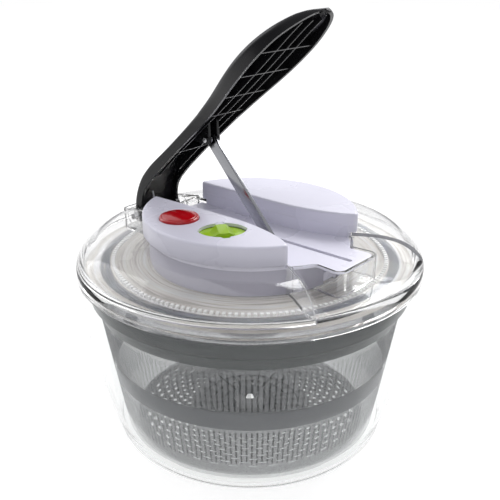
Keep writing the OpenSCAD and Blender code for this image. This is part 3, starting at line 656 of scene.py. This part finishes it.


# %% [markdown]
# The lid is one clear moulding: a low dome that rolls over into the rim, a scoop at the nose, walls round
# the nose and a pocket for the lever's foot. A single boolean solid would shade badly on the curves, so
# each stretch is spun or extruded by itself and cut with planes where it meets its neighbour. The end
# faces beside the scoop stay, in a grey, half-clear finish: painted shade that stands in for the thin grey
# line a clear edge shows, because clear ones turn black at that angle.
# The two walls of the scoop are thin plates with a plain Alpha for the same reason.

# %% Lid
# heights of the plate under the dome, the dome, the channel's floor, the hinge's axis and the cover
DECK, DOME, FLOOR_TOP, PIVOT, TOP = 140.6, 163.2, 160.0, 154.0, 178.0
HINGE_X = -101.5
crown = curve_through([(76, DOME), (88, DOME - 0.1), (101, DOME - 1.0), (112, DOME - 3.6),
                       (120.5, 155.2), (126.4, 149.6), (129.2, 145.2)], 5)
crown_in = curve_through([(126.0, 146.6), (122.4, 150.0), (117.6, 153.6), (110.6, 157.2),
                          (100.4, 159.6), (88, 160.6), (76, 160.6)], 5)
shell = [(128.6, 143.6), (129.4, 143.9)] + crown[::-1] + crown_in[::-1] + [(125.6, 145.0), (126.2, 143.6)]
SCOOP = 30.8            # degrees from the nose to each side of the scoop
POCKET_X, POCKET_Y = -116, 27
bm = bmesh.new()
for side in (1, -1):
    part = bmesh.new()
    turned(part, shell, start=side * SCOOP, end=side * 180, steps=110)
    bmesh.ops.recalc_face_normals(part, faces=part.faces)
    keep_side(part, (0, side * POCKET_Y, 0), (0, side, 0))
    mesh = mesh_from(part, "lid_part")
    bm.from_mesh(mesh)
    bpy.data.meshes.remove(mesh)
part = bmesh.new()
turned(part, shell, start=160, end=200, steps=40)
bmesh.ops.recalc_face_normals(part, faces=part.faces)
keep_side(part, (POCKET_X, 0, 0), (-1, 0, 0))
keep_side(part, (0, POCKET_Y, 0), (0, -1, 0))
keep_side(part, (0, -POCKET_Y, 0), (0, 1, 0))
mesh = mesh_from(part, "lid_part")
bm.from_mesh(mesh)
bpy.data.meshes.remove(mesh)
low_rim = [(128.1, 134.4), (128.6, 134.0), (129.5, 134.0), (130, 134.6), (130, 142.6), (129.2, 145.0),
           (127.6, 146.4), (125.2, 146.6), (123.4, 145.6), (122.2, 143.2), (122.2, 130.4), (124.4, 130.4),
           (124.6, 136.05), (128.0, 136.05)]
rim = bmesh.new()
turned(rim, low_rim, steps=200)
piece("lid_rim", rim, RIM_CLEAR, "lid", "clear_lid", "lid_shell")
SCOOP_IN = 29.9
scoop_floor = [(78.7, DECK + 0.05), (122.1, DECK + 0.05), (122.1, DECK + 2.6), (117.5, DECK + 2.6),
               (114, DECK + 2.2), (78.7, DECK + 2.2)]
turned(bm, scoop_floor, start=-SCOOP_IN, end=SCOOP_IN, steps=40)
post = [(76, DECK + 0.05), (78.6, DECK + 0.05), (78.6, FLOOR_TOP + 0.2), (78.2, FLOOR_TOP + 0.6),
        (76.4, FLOOR_TOP + 0.6), (76, FLOOR_TOP + 0.2)]
for side in (1, -1):
    turned(bm, post, start=side * 27.6, end=side * SCOOP_IN, steps=4)
print("lid shell so far:", len(bm.faces), "faces")
wall = [(76, DECK + 0.4), (122.1, DECK + 0.4), (126.6, 147.6)]
wall += [(r, z - 0.1) for r, z in reversed(crown) if r < 125.4]
# the end faces beside the scoop get the grey of painted shade
for f in bm.faces:
    c = f.calc_center_median()
    beside_scoop = abs(abs(math.degrees(math.atan2(c.y, c.x))) - SCOOP) < 0.02
    if beside_scoop and c.z > 143.7 * MM:
        f.material_index = 1
dome = piece("lid_dome", bm, LID_CLEAR, "lid", "clear_lid", "lid_shell")
dome.data.materials.append(EDGE)
bm = bmesh.new()
for side in (1, -1):
    verts = plate(bm, wall, -0.8, 0.8)
    stand_up(bm, verts)
    turn_about_axis(bm, verts, side * (SCOOP - 0.6))
piece("scoop_walls", bm, WALL_CLEAR, "lid", "clear_lid", "lid_shell")


# %% [markdown]
# The nose box and the hinge pocket are plain upright walls that follow an outline. Each is drawn as a
# strip, rounded at its corners, and solidify gives it thickness.

# %% Walls round the nose and the hinge
def wall_strip(name, outline, low, high, thick, closed, corners, radius, sink=0.0):
    """An upright wall that follows an outline, with its numbered corners rounded. sink lowers the top of
    its back end, which follows the dome down."""
    bm = bmesh.new()
    line = [bm.verts.new((x * MM, y * MM, low * MM)) for x, y in outline]
    pairs = list(zip(line, line[1:])) + ([(line[-1], line[0])] if closed else [])
    edges = [bm.edges.new(pair) for pair in pairs]
    up = bmesh.ops.extrude_edge_only(bm, edges=edges)["geom"]
    bmesh.ops.translate(bm, verts=[v for v in up if isinstance(v, bmesh.types.BMVert)],
                        vec=(0, 0, (high - low) * MM))
    upright = upright_edges(line, corners)
    bmesh.ops.bevel(bm, geom=upright, offset=radius * MM, segments=5, profile=0.5, affect="EDGES",
                    material=-1)
    bmesh.ops.recalc_face_normals(bm, faces=bm.faces)
    if sink:
        for v in bm.verts:
            if v.co.x < -100 * MM and v.co.z > (low + 2) * MM:
                v.co.z -= sink * MM
    ob = piece(name, bm, LID_CLEAR, "lid", "clear_lid", "lid_shell")
    solid = ob.modifiers.new("wall", "SOLIDIFY")
    solid.thickness = thick * MM
    solid.offset = 0
    rim = ob.modifiers.new("rim", "BEVEL")
    rim.width = 0.35 * MM
    rim.segments = 2
    return ob


NOSE = [(67, 34), (71.5, 28.5), (77, 19.6), (93.4, 21.2), (97.2, 17.4)]
nose_wall = [(x + (1.4 if x > 90 else 0.2), y + 1.5) for x, y in NOSE]
wall_strip("nose_box", both_sides([(64.5, 38.6)] + nose_wall), DECK + 0.1, FLOOR_TOP + 0.6, thick=2.2,
           closed=False, corners=(3, 4, 5, 6, 7, 8), radius=2.2)
wall_strip("hinge_pocket", [(-115, -25.8), (-78.2, -25.8), (-78.2, 25.8), (-115, 25.8)], DECK + 0.1,
           DOME + 1.2, thick=2.4, closed=True, corners=(0, 1, 2, 3), radius=3.0, sink=5.2)
bm = bmesh.new()
plate(bm, [(-113.8, -24.6), (-79.4, -24.6), (-79.4, 24.6), (-113.8, 24.6)], DECK + 0.05, DECK + 2.4)
for side in (1, -1):
    boss = disc(bm, 6.5, 1.1, segments=40)
    stand_up(bm, boss)
    bmesh.ops.translate(bm, verts=boss, vec=(HINGE_X * MM, side * 27.45 * MM, PIVOT * MM))
piece("pocket_floor", bm, LID_CLEAR, "lid", "clear_lid", "lid_shell")


# %% [markdown]
# The white cover is two raised halves with a channel between them. Each half starts as one outline: the
# flaring channel wall and an arc. Its two corners are rounded first and its rim after that, in the order a
# toolmaker would. A second, slightly fuller layer below gives the fine step line half way down the channel.

# %% The two raised halves
CHANNEL = [(-60, 24.6), (-30, 24.0), (0, 23.7), (20, 24.4), (35, 26.8), (48, 30.2), (58, 34.0), (66, 38.6)]


def half_outline(radius, swell=0.0):
    """One raised half seen from above: along the channel from hinge to nose, then back round the arc."""
    wall = [(x, y - swell) for x, y in curve_through(CHANNEL, 4)]
    start = (-math.sqrt(radius ** 2 - (25.3 - swell) ** 2), 25.3 - swell)
    wall = [start] + [p for p in wall if math.hypot(*p) < radius - 1.5]
    slope = (wall[-1][1] - wall[-2][1]) / (wall[-1][0] - wall[-2][0])
    x, y = wall[-1]
    stride = 0.05
    while math.hypot(x, y) < radius:
        x, y = x + stride, y + stride * slope
    front, back = math.atan2(y, x), math.atan2(start[1], start[0])
    count = int((back - front) / math.radians(3))
    turns = [front + (back - front) * k / count for k in range(count)]
    arc = [(radius * math.cos(a), radius * math.sin(a)) for a in turns]
    return wall + arc, len(wall)


def leaf(length, width, count=14):
    """A leaf: two arcs that meet in a point at each end."""
    r = (length ** 2 / 4 + width ** 2 / 4) / width
    half = math.asin(length / 2 / r)
    turns = [half - 2 * half * k / count for k in range(count)]
    upper = [(r * math.sin(a), r * math.cos(a) - r + width / 2) for a in turns]
    return upper + [(-x, -y) for x, y in upper]


BUTTON = (-23.6, -50.4)
LOCK = (16.5, -48.0)
LOCK_TURN = math.radians(51)
HALF_R, STEP_R = 80.0, 75.6     # radii of a raised half and of the layer below it
HOLLOW = (53, 37)               # length and width of the space that the slider moves in
HOLLOW_FLOOR = 164.5
to_lock = Matrix.Translation((LOCK[0] * MM, LOCK[1] * MM, 0)) @ Matrix.Rotation(LOCK_TURN, 4, "Z")


def cover_half(side):
    upper, lower = bmesh.new(), bmesh.new()
    outline, corner = half_outline(HALF_R)
    plate(upper, [(x, side * y) for x, y in outline], 163.4, TOP, top=2.0, bottom=0.5, corner=(0, corner),
          corner_round=3.2)
    outline, corner = half_outline(STEP_R, swell=0.35)
    plate(lower, [(x, side * y) for x, y in outline], 157.9, 169.4, top=0.5, corner=(0, corner),
          corner_round=3.0)
    return upper, lower


upper, lower = cover_half(1)
piece("cover_back", upper, COVER, "lid", "white_cover", "lid_cover")
piece("cover_back_step", lower, COVER, "lid", "white_cover", "lid_cover")


# %% [markdown]
# The front half has three openings: the button's round well, the leaf-shaped window, and a hollow under
# the window for the slider to move in. These are clean cuts into flat faces, so booleans suit them well.
# Two finger notches slope down into the window from its long sides.

# %% Front half with its openings
upper, lower = cover_half(-1)
well = bmesh.new()
shaft = disc(well, 14.75, 12, segments=72)
bmesh.ops.translate(well, verts=shaft, vec=(BUTTON[0] * MM, BUTTON[1] * MM, 175 * MM))
upper = carve(upper, well)
window = bmesh.new()
bmesh.ops.transform(window, verts=plate(window, leaf(35, 28), 171, 182), matrix=to_lock)
upper = carve(upper, window)
hollow = bmesh.new()
bmesh.ops.transform(hollow, verts=plate(hollow, leaf(*HOLLOW), HOLLOW_FLOOR, TOP - 2.2), matrix=to_lock)
upper = carve(upper, hollow)
for side in (1, -1):
    notch = bmesh.new()
    verts = plate(notch, [(-4.6, side * 12.0), (4.6, side * 12.0), (0.8, side * 19.0)], TOP - 1.2, TOP + 3)
    for v in verts:
        if v.co.z < TOP * MM and abs(v.co.y) > 15 * MM:
            v.co.z = (TOP + 0.3) * MM
    bmesh.ops.transform(notch, verts=verts, matrix=to_lock)
    upper = carve(upper, notch)
bolt_way = bmesh.new()
block(bolt_way, (20, 12, 2.7), (36, -27, 172.05))
upper = carve(upper, bolt_way)
bmesh.ops.remove_doubles(upper, verts=upper.verts, dist=5e-6)
piece("cover_front", upper, COVER, "lid", "white_cover", "lid_cover", sharp=30)
hollow = bmesh.new()
bmesh.ops.transform(hollow, verts=plate(hollow, leaf(*HOLLOW), HOLLOW_FLOOR, TOP), matrix=to_lock)
lower = carve(lower, hollow)
well = bmesh.new()
shaft = disc(well, 15, 8, segments=48)
bmesh.ops.translate(well, verts=shaft, vec=(BUTTON[0] * MM, BUTTON[1] * MM, 172 * MM))
lower = carve(lower, well)
piece("cover_front_step", lower, COVER, "lid", "white_cover", "lid_cover", sharp=30)


# %% [markdown]
# The channel's floor runs out into the nose. It is one thin plate with a rounded rim, and a boolean opens
# the slot that the link travels in. Under it a white drum closes the gears in. The drum is the cover's
# white plastic, painted darker as shade, because it stands in the shadow under the cover.

# %% Channel floor, nose and drum
channel = [(-75.2, 25.0)] + [p for p in curve_through(CHANNEL, 3) if p[0] < 62]
floor_outline = both_sides([(x, y + 0.6) for x, y in channel] + [(66.6, 35.6)] + NOSE)
bm = bmesh.new()
last = len(floor_outline) - 1
nose_first = len(channel) + 2       # every nose point but the first is rounded, on both sides
near_corners = tuple(range(nose_first, nose_first + 4))
far_corners = tuple(last - i for i in near_corners)
plate(bm, floor_outline, 157.85, FLOOR_TOP, top=0.9, bottom=0.3, corner=near_corners + far_corners,
      corner_round=2.4)
slot = bmesh.new()
SLOT_END, SLOT_R = 89.8, 2
turns = [math.radians(a) for a in range(20, 91, 20)]
path = [(SLOT_END + SLOT_R, 0)] + [(SLOT_END + SLOT_R * math.cos(a), SLOT_R * math.sin(a)) for a in turns]
plate(slot, [(-8, -2)] + [(x, -y) for x, y in reversed(path[1:])] + path + [(-8, 2)], 150, 170)
bm = carve(bm, slot)
piece("cover_floor", bm, COVER, "lid", "white_cover", "lid_cover", sharp=30)
bm = bmesh.new()
turned(bm, [(73.3, 140.9), (75.5, 140.9), (75.5, 157.8), (73.3, 157.8)], start=6.2, end=353.8, steps=120)
# the drum's darker white is painted shade
piece("cover_drum", bm, COVER_PAINTED_SHADE, "lid", "white_cover", "lid_cover")


# %% [markdown]
# Outside the drum, the plate carries a ring of small teeth that shows through the dome. One tooth is made,
# and spin repeats it round the axis as separate copies.

# %% Ring of small teeth
bm = bmesh.new()
TEETH, TEETH_R = 160, 102.6
block(bm, (2.6, 2.1, 1.7), (TEETH_R, 0, DECK + 0.8))
bmesh.ops.spin(bm, geom=bm.faces[:] + bm.edges[:] + bm.verts[:], axis=(0, 0, 1), cent=(0, 0, 0),
               angle=2 * math.pi, steps=TEETH, use_duplicate=True, use_merge=False)
piece("plate_teeth", bm, FROST_TEETH, "lid", "frosted_plate")


# %% [markdown]
# The stop button is a turned shape: straight side, a small round, a shallow groove and a low dome. Its
# spin has a pole in the middle, which the merge closes.

# %% Stop button
bm = bmesh.new()
dome = curve_through([(12.2, 180.35), (9.0, 180.95), (5.0, 181.4), (POLE, 181.55)], 5)
skirt = [(POLE, 172.6), (12.4, 172.6), (12.4, 170.6), (14.4, 170.6), (14.4, 178.6), (14.2, 179.3),
         (13.6, 179.8), (12.9, 179.95), (12.5, 179.85)]
turned(bm, skirt + dome, steps=96)
bmesh.ops.translate(bm, verts=bm.verts, vec=(BUTTON[0] * MM, BUTTON[1] * MM, 0))
piece("stop_button_cap", bm, RED, "button", "red_button", "stop_button", sharp=50)


# %% [markdown]
# The green slider fills the leaf window. A finger bar with sloping ends stands up in its middle. The plate
# and the bar are separate closed forms, each with its own rounded edges.

# %% Lock slider
bm = bmesh.new()
blade = [(max(x - 3.5, -24.4), y) for x, y in leaf(41.6, 31.0)]
plate(bm, blade, 173.3, 175.5, top=0.3)
bar_shape = bmesh.new()
plate(bar_shape, leaf(17.8, 19.3, 18), 175.0, 181)
slope = bmesh.new()
ends = [(-9.5, 174.8), (-6.6, 176.6), (-3.6, 178.8), (3.6, 178.8), (6.6, 176.6), (9.5, 174.8)]
verts = plate(slope, ends, -20, 20)
stand_up(slope, verts)
bar_shape = carve(bar_shape, slope, "INTERSECT")
mesh = mesh_from(bar_shape, "bar")
bm.from_mesh(mesh)
bmesh.ops.transform(bm, verts=bm.verts, matrix=to_lock)
slider = piece("lock_slider_leaf", bm, GREEN, "lock", "green_lock", "lock_slider", sharp=30)
soften = slider.modifiers.new("soften", "BEVEL")
soften.width = 0.45 * MM
soften.segments = 3
soften.limit_method = "ANGLE"
soften.angle_limit = math.radians(30)


# %% [markdown]
# The lever is a long glossy shell, open underneath. A flat grid has the right topology for it: its rows
# run along the arm and its columns wrap from one lower edge over the back to the other. Each grid vertex
# is moved to its place on the shell, and a Solidify modifier gives the wall. Ribs inside are thin plates.

# %% Lever shell
HINGE = (HINGE_X, 0.0, PIVOT)
SWING = 41.5
# side view of the back and of the lower edge, and the plan's half width, along the lever from its hinge
BACK = [(0.6, -7.2), (-4.2, -5.4), (-6.7, -0.6), (-5.6, 3.2), (-2, 7.6), (5, 14), (14.2, 19.4), (24, 22.8),
        (35.5, 24.3), (45, 24.6), (62.8, 24.2), (93, 24.4), (121.9, 25.6), (152.5, 27.2), (181.5, 28),
        (205.4, 26.6), (222.3, 24), (230, 21.6), (232.8, 19.9), (234.0, 18.7)]
UNDER = [(5.9, -2.6), (6.2, -1.0), (6.4, 2.2), (9.5, 6.4), (15.5, 10.8), (23, 13.2), (36, 14.6), (48, 15.1),
         (64, 15.5), (80, 15.5), (100, 15.4), (130, 15.2), (165, 15.6), (191, 16.4), (210, 17.2),
         (224, 17.2), (231, 17.3), (233.6, 17.5), (234.1, 17.8)]
PLAN = [(-8, 20.4), (100, 20.4), (115, 21.1), (130, 22.8), (143, 25.3), (155, 28), (168, 30.2), (180, 31.2),
        (192, 31.2), (203, 29.6), (213, 26.4), (221, 21.8), (227, 16.8), (231, 11.6), (233.4, 6.0),
        (234.2, 0.4)]
raise_lever = (Matrix.Translation(Vector(HINGE) * MM) @ Matrix.Rotation(math.radians(-SWING), 4, "Y"))


def along(path, share):
    """The point at a share of a path's length."""
    lengths = [math.dist(a, b) for a, b in zip(path, path[1:])]
    left = share * sum(lengths)
    for a, b, d in zip(path, path[1:], lengths):
        if left <= d:
            return tuple(p + (q - p) * left / d for p, q in zip(a, b))
        left -= d
    return path[-1]


def height_at(path, u):
    """A path's second value where its first is u."""
    for a, b in zip(path, path[1:]):
        if a[0] <= u <= b[0]:
            return a[1] + (b[1] - a[1]) * (u - a[0]) / (b[0] - a[0])
    return path[0][1] if u < path[0][0] else path[-1][1]


back_line, under_line = curve_through(BACK, 6), curve_through(UNDER, 6)
plan_line = curve_through(PLAN, 6)
STATIONS, ROUND = 90, 4.6       # rows along the arm, and the radius of its upper edges
CROWD = 0.9                     # below one, the rows lie closer together towards the tip
SIDE_ROWS, EDGE_ROWS = 1.0, 7.5     # where the flat side and the round edge end, in wrap's count
CROWN = 0.5                     # how far the arm's back swells in its middle
bm = bmesh.new()
wrap = [0.0, 0.34, 0.68, 1.0] + [1.0 + k for k in range(1, 7)] + [8.0, 9.0, 10.0]
columns = len(wrap) * 2 - 1
bmesh.ops.create_grid(bm, x_segments=STATIONS, y_segments=columns - 1, size=0.5)
for v in bm.verts:
    i, j = round((v.co.x + 0.5) * STATIONS), round((v.co.y + 0.5) * (columns - 1))
    share = (i / STATIONS) ** CROWD
    top, foot = along(back_line, share), along(under_line, share)
    depth = math.dist(top, foot)
    side = 1 if j > len(wrap) - 1 else -1
    w = wrap[j if side < 0 else columns - 1 - j]
    wide_top, wide_foot = height_at(plan_line, top[0]), height_at(plan_line, foot[0])
    curl = min(ROUND, depth * 0.55, max(wide_top * 0.6, 0.05))
    if w <= SIDE_ROWS:
        t = (1 - w * (1 - curl / depth))
        across = wide_foot + (wide_top - wide_foot) * (1 - t)
    elif w < EDGE_ROWS:
        angle = (w - 1.0) / 6 * math.pi / 2
        t = curl / depth * (1 - math.sin(angle))
        across = wide_top - curl * (1 - math.cos(angle))
    else:
        t = 0.0
        across = (wide_top - curl) * (1 - (w - 7.0) / 3.0)
    u = top[0] + (foot[0] - top[0]) * t
    h = top[1] + (foot[1] - top[1]) * t
    if w > SIDE_ROWS and 20 < u < 225:
        h += CROWN * (1 - (across / max(wide_top, 1)) ** 2)
    v.co = (u * MM, side * across * MM, h * MM)
bmesh.ops.transform(bm, verts=bm.verts, matrix=raise_lever)
bmesh.ops.remove_doubles(bm, verts=bm.verts, dist=5e-6)
shell = piece("lever_shell", bm, BLACK, "lever", "black_lever", "lever", sharp=60)
skin = shell.modifiers.new("wall", "SOLIDIFY")
skin.thickness = 2.4 * MM
skin.offset = -1
skin.use_quality_normals = True


# %% [markdown]
# Underneath, the lever is stiffened by three long ribs, five cross ribs and two cheeks that hold the link's
# upper pin. They could be cut from one block, but thin plates drawn in the lever's own side view follow
# its curve. Each stops just short of the shell's skin and of its open edge.

# %% Lever ribs
RIB = 1.3
PAST_FOOT = 20          # the back line's first points curl round the foot; past these it only runs forward


def rib_plate(bm, points, y, thick):
    """A thin upright plate drawn in the lever's own side view, centred on y."""
    verts = plate(bm, points, y - thick / 2, y + thick / 2)
    stand_up(bm, verts)
    # the turn puts y on its other side
    bmesh.ops.scale(bm, verts=verts, vec=(1, -1, 1))
    return verts


bm = bmesh.new()
arm_line = back_line[PAST_FOOT:]
for y, start, stop in ((-10.5, 36, 222), (0.0, 109, 226), (10.5, 36, 222)):
    low = [(u, height_at(under_line, u) + 1.2) for u in range(start, stop + 1, 6)]
    high = [(u, height_at(arm_line, u) - 1.4) for u in range(start, stop + 1, 6)]
    rib_plate(bm, low + high[::-1], y, RIB)
for u in (69.5, 120.0, 144.0, 168.5, 193.7):
    wide = height_at(plan_line, u) - 1.2
    low, high = height_at(under_line, u) + 1.2, height_at(arm_line, u) - 1.4
    block(bm, (RIB, 2 * wide, high - low), (u, 0, (high + low) / 2))
for side in (1, -1):
    rib_plate(bm, [(79, 22.4), (88, 11.0), (98, 11.0), (107, 22.4)], side * 4.6, 2.4)
    barrel = disc(bm, 6.4, 3.6, segments=48)
    stand_up(bm, barrel)
    bmesh.ops.translate(bm, verts=barrel, vec=(0, side * 18.5 * MM, 0))
    eye_ring = disc(bm, 4, 2.4, segments=32)
    stand_up(bm, eye_ring)
    bmesh.ops.translate(bm, verts=eye_ring, vec=(93.64 * MM, side * 4.6 * MM, 11.17 * MM))
bmesh.ops.transform(bm, verts=bm.verts, matrix=raise_lever)
ribs = piece("lever_ribs", bm, BLACK, "lever", "black_lever", "lever")
edge = ribs.modifiers.new("edge", "BEVEL")
edge.width = 0.3 * MM
edge.segments = 2


# %% [markdown]
# The link is a flat steel bar with round ends. Its breakup pattern is stretched along x and z, as
# polishing marks are along a bar. It is drawn lying flat about its foot, stood up, and turned to its place.

# %% Link
def bar_outline(length, half, count=12):
    ends = [(half * math.sin(math.pi * k / count), -half * math.cos(math.pi * k / count))
            for k in range(count + 1)]
    return ends + [(-length - x, -y) for x, y in ends]


LINK_LENGTH, LINK_TILT = 94.3, 48.3
bm = bmesh.new()
plate(bm, bar_outline(LINK_LENGTH, 4.4), -1.5, 1.5, top=0.35, bottom=0.35)
for x in (0, -LINK_LENGTH):
    pin = disc(bm, 2.9, 0.5, segments=32, top_radius=2.6)
    bmesh.ops.translate(bm, verts=pin, vec=(x * MM, 0, 1.7 * MM))
stand_up(bm, bm.verts)
tilt = math.radians(LINK_TILT)
foot_x = HINGE_X + 2 * LINK_LENGTH * math.cos(tilt)
to_foot = Matrix.Translation((foot_x * MM, 0, PIVOT * MM)) @ Matrix.Rotation(tilt, 4, "Y")
bmesh.ops.transform(bm, verts=bm.verts, matrix=to_foot)
piece("link_bar", bm, LINK, "link", "polished_link", "link", sharp=30)


# %% [markdown]
# What is left keeps its CAD shape. Each of these nodes gets the finish that its real part has: turned
# steel, drawn wire, natural gear plastic, brass, rubber, and frosted plastic for the plate and the disc.

# %% Finishes for the CAD nodes
KEPT = {FROST: ("lid_plate",), DISC: ("drive_disc",), COVER: ("rack_rails",), BRASS: ("shaft_bush",),
        RUBBER: ("brake_pad",), GEAR: ("rack", "pinion_gear", "sun_gear", "brake_stem"),
        WIRE: ("lever_spring", "button_spring", "shaft_clip"),
        STEEL: ("plate_screws", "hinge_pin", "link_top_pin", "link_foot_pin", "gear_post", "drive_shaft",
                "clutch_cup", "clutch_rollers", "lock_bolt")}
for material, names in KEPT.items():
    for name in names:
        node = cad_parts[name]
        node.data.materials.clear()
        node.data.materials.append(material)
print(sum(len(names) for names in KEPT.values()), "nodes keep their CAD shape")


# %% [markdown]
# Last, the view layer is updated, so that every piece stands where its body puts it.

# %% Last update
bpy.context.view_layer.update()
